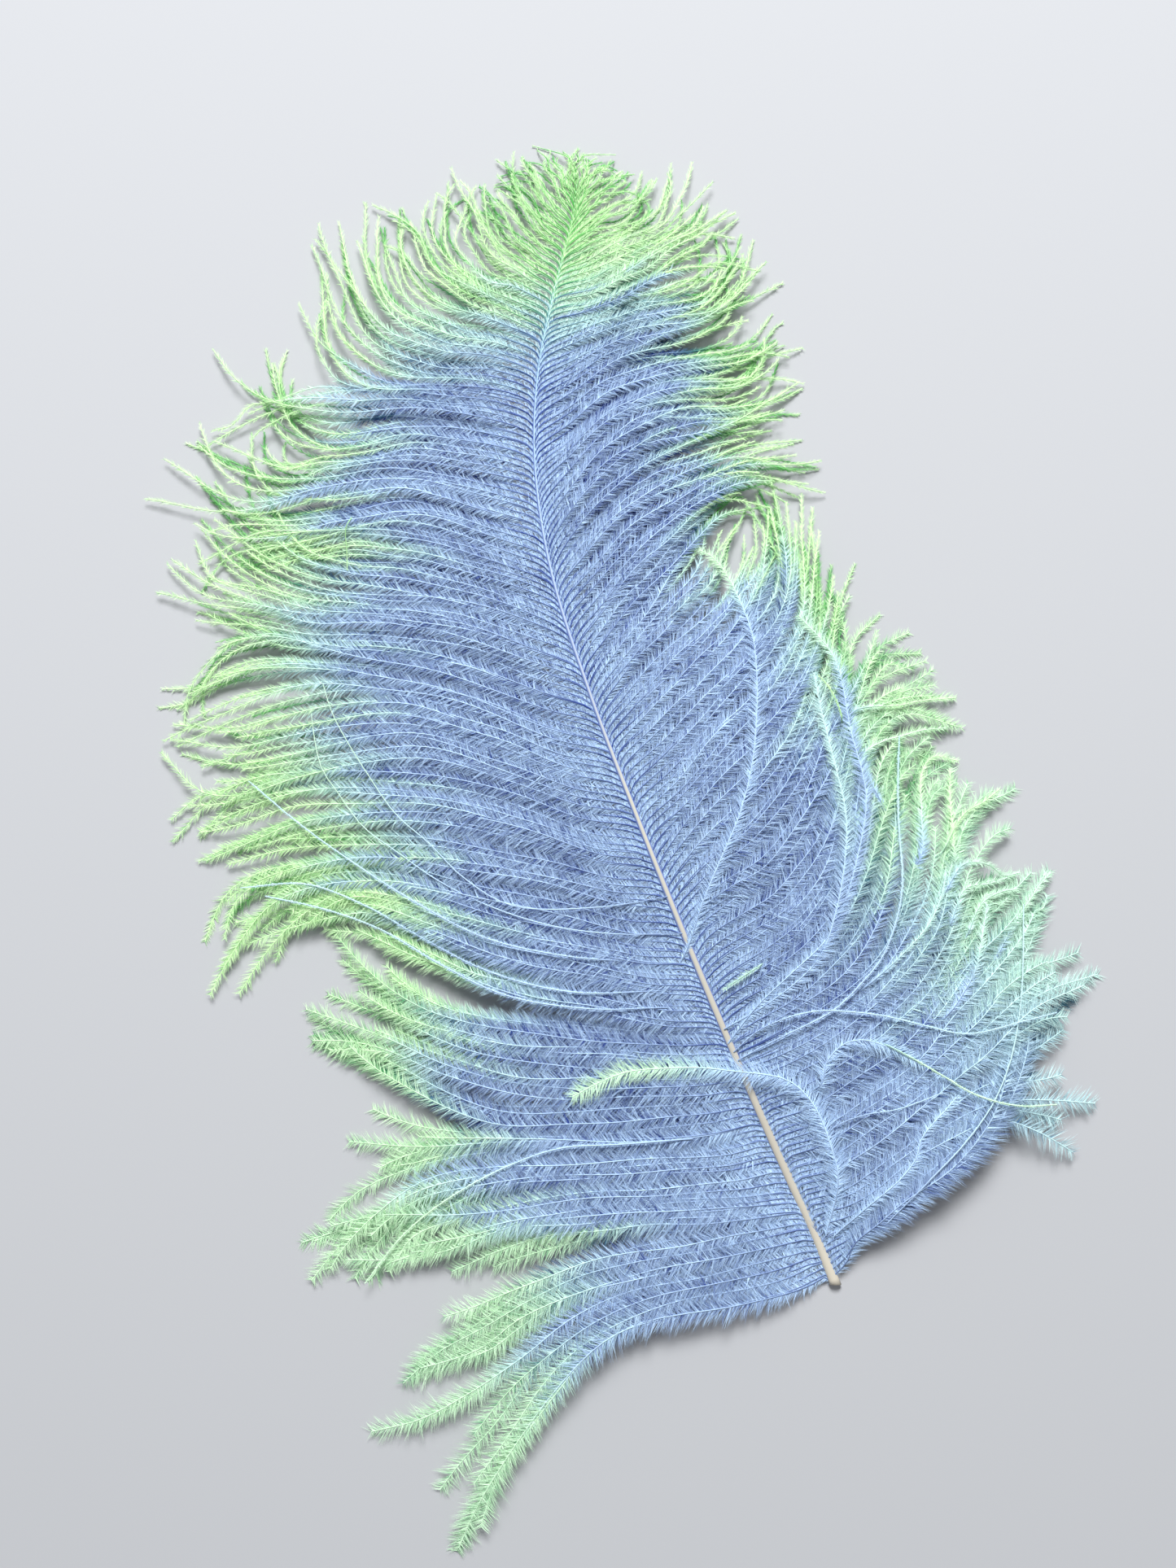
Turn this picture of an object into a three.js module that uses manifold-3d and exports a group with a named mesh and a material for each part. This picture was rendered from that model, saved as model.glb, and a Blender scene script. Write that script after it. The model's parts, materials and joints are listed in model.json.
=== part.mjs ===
// A dyed ostrich plume lying flat on its underside, in millimetres.
// +Z is up, +Y runs from the quill's cut end to the tip, and the origin is on the resting surface,
// under the quill, a few millimetres in from the cut.
// The feather grew as one piece, so it is one solid: a tapering shaft with the soft locks of barbs
// fused to both its sides. Each lock follows a tuft of the real vane from the shaft to its tip.
import * as THREE from "three";
import { mergeVertices } from "three/addons/utils/BufferGeometryUtils.js";
import Module from "manifold-3d";

// Driving dimensions
const SHAFT_LENGTH = 380;
const SHAFT_LENGTH_PX = 1436;
const MM_PER_PX = SHAFT_LENGTH / SHAFT_LENGTH_PX;
const QUILL_PX = [1021, 1563];
const TIP_PX = [710, 186];

// Shape of a lock
const LEAVE_ANGLE = (42 * Math.PI) / 180;
const LEAVE_REACH = 5;
const STATION_SPACING = 27;
const FEWEST_STATIONS = 4;
const MOST_STATIONS = 6;
const SHARE_OF_SPACING = 0.66;
const WIDEST_HALF = 8.5;
const FULL_FROM = 0.16;
const TAPER_FROM = 0.58;
const ROOT_HALF = 6.3;
const TIP_HALF = 1.1;
const THICK_HALF = 3.0;
const TIP_THICK_HALF = 0.8;
const ROOT_THICK_HALF = 1.0;
const UNDERSIDE = 0.6;
const TIP_HEIGHT = 0.9;
const STAGGER = 1.2;
const DROOP = 1.5;
const ARCH_LEFT = 6.5;
const ARCH_RIGHT = 10.5;
const ARCH_LOST_TO_TIP = 0.6;

// Shape of the shaft
const SHAFT_SIDES = 8;
const SHAFT_DEPTH = 0.85;
const SHAFT_STEP_PX = 62;
const UNDER_DEPTH = 30;
const PLAN_SIZE = 900;

// The shaft's centre line from the cut end to the tip: picture row, picture column,
// height above the surface and half width.
const SHAFT = [
  [1577, 1026, 1.5, 2.1],
  [1508, 998, 1.42, 1.95],
  [1446, 969, 2.2, 1.8],
  [1302, 905, 4.6, 1.5],
  [1150, 841, 7.0, 1.25],
  [1000, 781, 8.6, 1.0],
  [850, 724, 9.2, 0.8],
  [700, 677, 8.6, 0.7],
  [570, 658, 7.2, 0.62],
  [460, 662, 5.6, 0.56],
  [350, 684, 4.2, 0.5],
  [270, 704, 3.2, 0.45],
  [215, 710, 2.4, 0.4],
];

// The locks of each vane from the tip down: the row where a lock leaves the shaft, then the picture
// points that it passes on its way to its own tip.
const LEFT_LOCKS = [
  [222, [711, 184]],
  [256, [692, 226], [662, 184]],
  [300, [672, 264], [644, 226], [612, 197]],
  [340, [660, 310], [622, 266], [591, 231]],
  [366, [650, 335], [606, 298], [578, 248], [556, 210]],
  [392, [640, 362], [588, 340], [552, 300], [536, 243]],
  [416, [630, 384], [570, 362], [520, 302], [459, 255]],
  [440, [620, 408], [550, 392], [492, 358], [471, 282]],
  [464, [615, 433], [545, 428], [492, 420], [462, 350], [447, 250]],
  [486, [612, 455], [540, 452], [478, 440], [436, 360], [393, 277]],
  [508, [610, 478], [530, 478], [450, 480], [408, 430], [398, 333]],
  [532, [606, 502], [505, 492], [405, 487], [335, 506], [254, 551]],
  [558, [604, 528], [505, 518], [400, 526], [325, 498], [264, 430]],
  [588, [603, 558], [503, 548], [400, 554], [352, 508], [325, 430]],
  [624, [606, 594], [503, 577], [400, 586], [300, 586], [206, 567]],
  [660, [610, 630], [505, 605], [400, 610], [338, 602], [327, 532]],
  [700, [616, 665], [515, 636], [415, 642], [330, 640], [256, 612]],
  [738, [625, 703], [540, 672], [470, 652], [370, 660], [280, 684], [248, 728]],
  [786, [640, 746], [560, 718], [480, 706], [400, 708], [342, 668], [299, 572]],
  [814, [646, 776], [560, 748], [460, 734], [370, 720], [300, 680], [248, 640]],
  [848, [654, 811], [562, 780], [460, 764], [360, 758], [290, 730], [213, 688]],
  [880, [663, 846], [572, 812], [472, 794], [380, 785], [310, 770], [243, 753]],
  [910, [672, 877], [585, 842], [482, 818], [400, 798], [320, 777], [256, 808], [229, 891]],
  [940, [681, 909], [599, 874], [497, 848], [392, 832], [300, 832], [195, 871]],
  [972, [694, 942], [612, 910], [510, 882], [410, 872], [315, 874], [204, 913]],
  [1006, [707, 978], [626, 949], [526, 924], [426, 924], [330, 925], [215, 890]],
  [1038, [718, 1011], [641, 983], [543, 958], [443, 954], [345, 962], [262, 970], [212, 1033]],
  [1072, [733, 1047], [658, 1021], [558, 1002], [458, 992], [358, 998], [246, 1045]],
  [1110, [750, 1088], [675, 1066], [576, 1048], [476, 1036], [380, 1046], [266, 1063]],
  [1144, [765, 1122], [690, 1102], [592, 1084], [492, 1070], [395, 1075], [300, 1095], [253, 1158]],
  [1170, [777, 1149], [702, 1131], [603, 1113], [503, 1095], [400, 1100], [290, 1130]],
  [1196, [788, 1176], [714, 1159], [615, 1141], [515, 1115], [420, 1110], [330, 1135], [260, 1222]],
  [1222, [800, 1202], [726, 1187], [627, 1168], [528, 1135], [430, 1118], [365, 1135], [297, 1220]],
  [1262, [817, 1243], [743, 1230], [643, 1214], [554, 1188], [482, 1162], [415, 1170]],
  [1304, [836, 1288], [761, 1282], [661, 1274], [571, 1255], [490, 1238], [404, 1219]],
  [1334, [850, 1322], [775, 1322], [680, 1322], [590, 1310], [500, 1275], [376, 1243]],
  [1362, [863, 1355], [788, 1362], [698, 1368], [608, 1362], [528, 1330], [450, 1293]],
  [1392, [878, 1388], [790, 1395], [700, 1398], [600, 1398], [510, 1405], [430, 1404]],
  [1422, [893, 1418], [803, 1423], [704, 1427], [602, 1434], [508, 1456], [440, 1484], [385, 1572]],
  [1456, [910, 1450], [820, 1454], [720, 1460], [612, 1474], [520, 1500], [460, 1520], [371, 1528]],
  [1488, [930, 1478], [838, 1482], [738, 1490], [645, 1502], [560, 1533], [451, 1574]],
  [1526, [945, 1518], [850, 1532], [760, 1550], [670, 1588], [590, 1640], [496, 1695]],
  [1547, [955, 1540], [866, 1556], [776, 1574], [690, 1610], [606, 1680], [534, 1735], [456, 1757]],
  [1568, [975, 1563], [890, 1578], [805, 1596], [728, 1632], [650, 1705], [598, 1795], [563, 1906]],
];
const RIGHT_LOCKS = [
  [262, [722, 232], [737, 213], [755, 200]],
  [284, [722, 255], [750, 232], [779, 217]],
  [306, [722, 280], [755, 258], [783, 238], [788, 213]],
  [350, [722, 328], [770, 302], [818, 280], [838, 245], [848, 202]],
  [382, [728, 358], [785, 330], [845, 293], [903, 264]],
  [414, [728, 388], [785, 362], [838, 338], [885, 330], [933, 334]],
  [456, [715, 420], [765, 400], [820, 388], [870, 372], [897, 330], [912, 290]],
  [504, [703, 468], [752, 440], [808, 420], [862, 402], [905, 378], [962, 350]],
  [536, [700, 497], [750, 465], [803, 448], [858, 442], [905, 430], [930, 412], [950, 388]],
  [590, [700, 545], [750, 503], [800, 478], [850, 465], [900, 452], [940, 440], [985, 427]],
  [620, [700, 568], [742, 530], [790, 500], [850, 488], [905, 480], [932, 455], [938, 418]],
  [650, [700, 590], [733, 555], [778, 521], [835, 507], [895, 503], [938, 485], [957, 448]],
  [678, [702, 615], [740, 572], [785, 540], [840, 520], [900, 514], [950, 495], [985, 478]],
  [704, [706, 640], [746, 596], [792, 565], [848, 547], [905, 530], [950, 512], [982, 508]],
  [728, [714, 664], [756, 620], [802, 590], [858, 570], [912, 550], [985, 543]],
  [752, [722, 692], [762, 648], [806, 615], [860, 590], [915, 570], [1003, 573]],
  [782, [730, 728], [768, 685], [810, 648], [860, 612], [915, 590], [1013, 605]],
  [820, [738, 768], [775, 722], [815, 682], [850, 645], [885, 615], [930, 600], [955, 590]],
  [860, [740, 825], [762, 797], [788, 763], [818, 718], [840, 690], [862, 650], [890, 622], [905, 612]],
  [886, [757, 842], [797, 795], [837, 755], [870, 718], [892, 675], [915, 625]],
  [918, [775, 872], [817, 828], [864, 782], [905, 732], [925, 680], [928, 630]],
  [950, [800, 890], [850, 840], [900, 790], [935, 730], [945, 660], [930, 608]],
  [985, [815, 925], [865, 870], [915, 815], [955, 755], [965, 700], [943, 585]],
  [1022, [830, 960], [880, 900], [935, 845], [975, 780], [985, 710], [982, 608]],
  [1045, [840, 985], [895, 925], [950, 865], [990, 790], [1000, 720], [997, 640]],
  [1070, [825, 1030], [870, 970], [930, 910], [975, 850], [1005, 780], [1003, 680]],
  [1090, [828, 1060], [865, 1015], [910, 970], [955, 915], [990, 850], [1010, 790], [1020, 695]],
  [1122, [843, 1095], [875, 1060], [915, 1030], [955, 985], [985, 930], [1020, 860], [1037, 790],
    [1017, 722]],
  [1146, [850, 1120], [890, 1085], [930, 1060], [960, 1025], [985, 985], [1010, 930], [1035, 860],
    [1045, 790], [1080, 755]],
  [1172, [862, 1140], [905, 1110], [941, 1089], [968, 1058], [990, 1028], [1012, 970], [1045, 860],
    [1075, 812], [1131, 803]],
  [1198, [880, 1165], [925, 1135], [962, 1110], [990, 1075], [1012, 1030], [1030, 960], [1055, 885],
    [1105, 860], [1172, 860]],
  [1226, [893, 1195], [940, 1165], [980, 1135], [1010, 1095], [1035, 1045], [1048, 985], [1065, 915],
    [1105, 877], [1180, 896]],
  [1254, [905, 1225], [950, 1195], [990, 1165], [1025, 1120], [1052, 1060], [1066, 1000], [1082, 935],
    [1110, 905], [1160, 896]],
  [1300, [930, 1275], [985, 1240], [1035, 1205], [1075, 1160], [1105, 1100], [1118, 1030],
    [1128, 965], [1172, 935]],
  [1345, [960, 1318], [1015, 1285], [1070, 1245], [1120, 1195], [1155, 1130], [1170, 1060],
    [1200, 1000], [1248, 971]],
  [1368, [975, 1335], [1035, 1300], [1090, 1258], [1140, 1205], [1175, 1140], [1198, 1090], [1245, 1075]],
  [1392, [988, 1358], [1050, 1318], [1105, 1275], [1155, 1220], [1195, 1170], [1240, 1125], [1288, 1070]],
  [1436, [1010, 1400], [1075, 1355], [1135, 1308], [1185, 1258], [1245, 1200], [1322, 1168]],
  [1458, [1020, 1425], [1085, 1378], [1145, 1330], [1200, 1278], [1265, 1225], [1348, 1197]],
  [1500, [1040, 1465], [1100, 1420], [1160, 1372], [1215, 1348], [1280, 1350], [1343, 1355]],
  [1520, [1045, 1485], [1098, 1440], [1150, 1400], [1195, 1370], [1232, 1335], [1250, 1300]],
  [1545, [1042, 1515], [1078, 1488], [1125, 1450], [1172, 1412], [1207, 1372], [1232, 1320],
    [1250, 1258], [1257, 1185]],
];

// A thin lock that springs from the base of the right vane and falls back over the shaft to the left:
// its root row, its picture points, and its height at each of them.
const CROSSING_LOCK = {
  row: 1535,
  points: [
    [1015, 1505],
    [1026, 1446],
    [1012, 1388],
    [983, 1336],
    [944, 1317],
    [880, 1310],
    [800, 1308],
    [703, 1342],
  ],
  heights: [3, 6.5, 8.5, 9.3, 9.3, 8.8, 8.2, 7],
};
const CROSSING_STATIONS = 14;
const CROSSING_HALF = 2.2;
const CROSSING_THICK_HALF = 0.8;

const UP = new THREE.Vector3(0, 0, 1);

const wasm = await Module();
wasm.setup();

// Directions in the picture, with its rows counted downwards
const along = new THREE.Vector2(TIP_PX[0] - QUILL_PX[0], QUILL_PX[1] - TIP_PX[1]).normalize();

// A picture point as a point of the feather at a given height.
function place([column, row], height = 0) {
  const right = (column - QUILL_PX[0]) * MM_PER_PX;
  const up = (QUILL_PX[1] - row) * MM_PER_PX;
  return new THREE.Vector3(right * along.y - up * along.x, right * along.x + up * along.y, height);
}

const shaftCurve = new THREE.CatmullRomCurve3(
  SHAFT.map(([row, column, height]) => place([column, row], height)),
  false,
  "centripetal",
);

// How far along the shaft's list of points a picture row lies, from 0 to 1.
function shaftShare(row) {
  const last = SHAFT.length - 1;
  const i = Math.min(last - 1, Math.max(0, SHAFT.findIndex(([next]) => next <= row) - 1));
  const step = (SHAFT[i][0] - row) / (SHAFT[i][0] - SHAFT[i + 1][0]);
  return THREE.MathUtils.clamp((i + step) / last, 0, 1);
}

function shaftHalfWidth(share) {
  const at = share * (SHAFT.length - 1);
  const i = Math.min(Math.floor(at), SHAFT.length - 2);
  return THREE.MathUtils.lerp(SHAFT[i][3], SHAFT[i + 1][3], at - i);
}

// A closed surface through rings of points, flat at its first ring and pointed or flat at its last.
function loft(rings) {
  const corners = rings.flat();
  const sides = rings[0].length;
  const faces = [];
  const starts = rings.map((ring, i) => rings.slice(0, i).reduce((sum, r) => sum + r.length, 0));
  for (let i = 1; i < sides - 1; i++) faces.push(0, i, i + 1);
  for (let k = 0; k + 1 < rings.length; k++) {
    const [a, b] = [starts[k], starts[k + 1]];
    for (let i = 0; i < sides; i++) {
      const next = (i + 1) % sides;
      if (rings[k + 1].length === 1) {
        faces.push(a + i, b, a + next);
      } else {
        faces.push(a + i, b + next, a + next, a + i, b + i, b + next);
      }
    }
  }
  const end = starts[rings.length - 1];
  for (let i = 1; i < rings.at(-1).length - 1; i++) faces.push(end, end + i + 1, end + i);
  const geometry = new THREE.BufferGeometry().setFromPoints(corners);
  geometry.setIndex(faces);
  return geometry;
}

function toSolid(geometry) {
  const bare = geometry.clone();
  bare.deleteAttribute("normal");
  bare.deleteAttribute("uv");
  const merged = mergeVertices(bare);
  return new wasm.Manifold(
    new wasm.Mesh({
      numProp: 3,
      vertProperties: merged.attributes.position.array,
      triVerts: new Uint32Array(merged.index.array),
    }),
  );
}

function toGeometry(solid) {
  const mesh = solid.getMesh();
  const geometry = new THREE.BufferGeometry();
  geometry.setAttribute("position", new THREE.BufferAttribute(mesh.vertProperties, 3));
  geometry.setIndex(new THREE.BufferAttribute(mesh.triVerts, 1));
  geometry.computeVertexNormals();
  return geometry;
}

// The two directions across a path: level to its right, and upwards.
function across(tangent) {
  const right = new THREE.Vector3(tangent.y, -tangent.x, 0).normalize();
  return [right, right.clone().cross(tangent).normalize()];
}

function shaft() {
  const steps = Math.round(SHAFT_LENGTH_PX / SHAFT_STEP_PX);
  const rings = Array.from({ length: steps + 1 }, (_, k) => {
    const share = k / steps;
    const centre = shaftCurve.getPoint(share);
    const [right, up] = across(shaftCurve.getTangent(share));
    const half = shaftHalfWidth(share);
    return Array.from({ length: SHAFT_SIDES }, (_, i) => {
      const turn = ((i + 0.5) / SHAFT_SIDES) * 2 * Math.PI;
      return centre
        .clone()
        .addScaledVector(right, half * Math.cos(turn))
        .addScaledVector(up, half * SHAFT_DEPTH * Math.sin(turn));
    });
  });
  return loft(rings);
}

// The plan path of a lock: it leaves the shaft at LEAVE_ANGLE and then passes its points.
function lockPath([row, ...points], side) {
  const share = shaftShare(row);
  const root = shaftCurve.getPoint(share);
  const flatRoot = root.clone().setZ(0);
  const shaftway = shaftCurve.getTangent(share).setZ(0).normalize();
  const leave = shaftway.clone().applyAxisAngle(UP, -side * LEAVE_ANGLE);
  const outward = shaftway.clone().applyAxisAngle(UP, (-side * Math.PI) / 2);
  const reach = Math.min(LEAVE_REACH, flatRoot.distanceTo(place(points[0])) / 4);
  const path = [flatRoot, flatRoot.clone().addScaledVector(leave, reach), ...points.map((p) => place(p))];
  const curve = new THREE.CatmullRomCurve3(path, false, "centripetal");
  return { curve, outward, rootHeight: root.z, share };
}

// A lock's height above the surface, a share t of the way to its tip.
function lockHeight(t, { rootHeight, arch, raised }) {
  const fall = (rootHeight - TIP_HEIGHT) * (1 - t) ** DROOP;
  return TIP_HEIGHT + fall + arch * 4 * t * (1 - t) + raised * (1 - t);
}

// Half the mean distance to the neighbouring locks, so that a vane is closed near the shaft.
function halfWidth(t, point, neighbours) {
  const gaps = neighbours.map(({ curve }) => curve.getPointAt(t).distanceTo(point));
  const mean = gaps.reduce((a, b) => a + b, 0) / gaps.length;
  const widest = Math.min(SHARE_OF_SPACING * mean, WIDEST_HALF);
  const full = THREE.MathUtils.lerp(ROOT_HALF, widest, Math.min(1, t / FULL_FROM));
  return THREE.MathUtils.lerp(full, TIP_HALF, THREE.MathUtils.smoothstep(t, TAPER_FROM, 1));
}

function thickHalf(t) {
  const body = THREE.MathUtils.lerp(ROOT_THICK_HALF, THICK_HALF, THREE.MathUtils.smoothstep(t, 0, 0.3));
  return THREE.MathUtils.lerp(body, TIP_THICK_HALF, THREE.MathUtils.smoothstep(t, 0.55, 1));
}

// A three-sided ring, wide and thin, with a level underside and its ridge on top.
function ridged(centre, tangent, wide, thick) {
  const [right, up] = across(tangent);
  const under = -UNDERSIDE * thick;
  return [
    centre.clone().addScaledVector(right, wide).addScaledVector(up, under),
    centre.clone().addScaledVector(up, thick),
    centre.clone().addScaledVector(right, -wide).addScaledVector(up, under),
  ];
}

// The first ring lies along the shaft, so that the roots of the locks meet.
function lock(path, neighbours) {
  const count = Math.round(path.curve.getLength() / STATION_SPACING);
  const stations = THREE.MathUtils.clamp(count, FEWEST_STATIONS, MOST_STATIONS);
  const rings = [];
  for (let k = 0; k < stations; k++) {
    const t = k / stations;
    const flat = path.curve.getPointAt(t);
    const centre = flat.clone().setZ(lockHeight(t, path));
    const tangent = k === 0 ? path.outward : path.curve.getTangentAt(t);
    rings.push(ridged(centre, tangent, halfWidth(t, flat, neighbours), thickHalf(t)));
  }
  rings.push([path.curve.getPointAt(1).setZ(lockHeight(1, path))]);
  return loft(rings);
}

function vane(locks, side) {
  const paths = locks.map((points, i) => {
    const path = lockPath(points, side);
    const arch = (side < 0 ? ARCH_LEFT : ARCH_RIGHT) * (1 - ARCH_LOST_TO_TIP * path.share);
    return { ...path, arch, raised: i % 2 ? STAGGER : -STAGGER };
  });
  return paths.map((path, i) => lock(path, [paths[i - 1], paths[i + 1]].filter(Boolean)));
}

function crossingLock({ row, points, heights }) {
  const root = shaftCurve.getPoint(shaftShare(row));
  const path = new THREE.CatmullRomCurve3([root, ...points.map((p, i) => place(p, heights[i]))]);
  const rings = Array.from({ length: CROSSING_STATIONS }, (_, k) => {
    const t = k / CROSSING_STATIONS;
    return ridged(path.getPointAt(t), path.getTangentAt(t), CROSSING_HALF, CROSSING_THICK_HALF);
  });
  rings.push([path.getPointAt(1)]);
  return loft(rings);
}

// What would lie under the resting surface, so that the underside is pressed flat.
function underSurface() {
  const block = new THREE.BoxGeometry(PLAN_SIZE, 2 * PLAN_SIZE, UNDER_DEPTH);
  block.translate(0, PLAN_SIZE / 4, -UNDER_DEPTH / 2);
  return block;
}

const pieces = [
  shaft(),
  ...vane(LEFT_LOCKS, -1),
  ...vane(RIGHT_LOCKS, 1),
  crossingLock(CROSSING_LOCK),
];
const fused = pieces.map(toSolid).reduce((whole, piece) => whole.add(piece));
const pressed = fused.subtract(toSolid(underSurface()));

// Overlapping locks shut in small pockets. Only the outer skin is kept, so those are filled.
const [skin] = pressed.decompose().sort((a, b) => b.volume() - a.volume());
const feather = new THREE.Mesh(
  toGeometry(skin),
  new THREE.MeshStandardMaterial({ color: 0x8f9fd0, roughness: 0.75, metalness: 0 }),
);
feather.name = "feather";

const part = new THREE.Group();
part.add(feather);
export default part;
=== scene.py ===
"""A dyed ostrich plume lying flat, seen from straight above, in metres.

The shaft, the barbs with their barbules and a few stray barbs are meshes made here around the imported
solid, in its frame: +Y runs from the quill's cut end to the tip and +Z is up.
"""

import json
import math

import bpy
import numpy as np
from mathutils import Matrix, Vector


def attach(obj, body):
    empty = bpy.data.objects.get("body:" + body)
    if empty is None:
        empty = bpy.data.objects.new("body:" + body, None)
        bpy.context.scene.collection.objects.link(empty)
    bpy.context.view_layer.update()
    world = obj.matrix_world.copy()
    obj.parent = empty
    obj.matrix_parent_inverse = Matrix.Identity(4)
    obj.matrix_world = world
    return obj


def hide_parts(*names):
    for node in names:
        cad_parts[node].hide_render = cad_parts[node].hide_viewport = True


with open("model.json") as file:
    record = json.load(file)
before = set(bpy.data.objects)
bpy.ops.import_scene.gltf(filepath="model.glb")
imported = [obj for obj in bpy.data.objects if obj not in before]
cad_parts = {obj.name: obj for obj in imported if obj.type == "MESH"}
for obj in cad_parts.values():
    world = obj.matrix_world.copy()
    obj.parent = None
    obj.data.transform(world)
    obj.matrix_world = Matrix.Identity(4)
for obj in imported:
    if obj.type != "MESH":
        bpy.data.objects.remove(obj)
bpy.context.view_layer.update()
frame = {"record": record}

# Scale and place of the picture in the feather's frame
SHAFT_LENGTH = 0.380
SHAFT_LENGTH_PX = 1436
M_PER_PX = SHAFT_LENGTH / SHAFT_LENGTH_PX
PICTURE_PX = (1445, 1927)
QUILL_PX = (1021, 1563)
TIP_PX = (710, 186)
ORIGIN = Vector(frame["record"]["mounts"][0]["pos_m"])
MM_PER_M = 1000
LEFT, RIGHT = -1, 1

# Camera
LENS_MM = 50
SENSOR_MM = 36
CAMERA_HEIGHT = PICTURE_PX[1] * M_PER_PX * LENS_MM / SENSOR_MM

# The lamp past the top of the picture, in metres and watts, the sky and the floor
LAMP_REACH = 1.3
LAMP_HEIGHT = 1.6
LAMP_SIZE = 0.7
LAMP_WATTS = 64
SKY_COLOUR = (0.93, 0.96, 1.0, 1)
SKY_STRENGTH = 0.34
FLOOR_HALF = 3.0
FLOOR_COLOUR = (0.46, 0.47, 0.49, 1)
FLOOR_ROUGHNESS = 0.9

# Barbs: the samples along each, the step between their roots by picture row, and the meshes of one vane
SEED = 11
SAMPLES = 36
ROOT_STEP_PX = ((200, 3.1), (420, 3.5), (700, 4.2), (1560, 4.2))
ROOT_VARIES_PX = 1
SIDE_TRIANGLES = 462_000
PIECES = ("tip", "middle", "base")

# Barbs leave the shaft in pairs: how many pairs lie above a picture row, and how soon a pair parts
PAIRS = ((200, 0), (600, 52), (1200, 123), (1580, 182))
PAIR_PARTS = 5

# The shaft's centre line from the cut end to the tip: picture row, picture column,
# height above the surface and half width, both in millimetres.
SHAFT = [
    (1577, 1026, 1.5, 1.82),
    (1508, 998, 1.42, 1.66),
    (1446, 969, 2.2, 1.53),
    (1302, 905, 4.6, 1.32),
    (1150, 841, 7.0, 1.2),
    (1000, 781, 8.6, 1.0),
    (850, 724, 9.2, 0.8),
    (700, 677, 8.6, 0.7),
    (570, 658, 7.2, 0.62),
    (460, 662, 5.6, 0.56),
    (350, 684, 4.2, 0.5),
    (270, 704, 3.2, 0.45),
    (215, 710, 2.4, 0.4),
]

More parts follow.
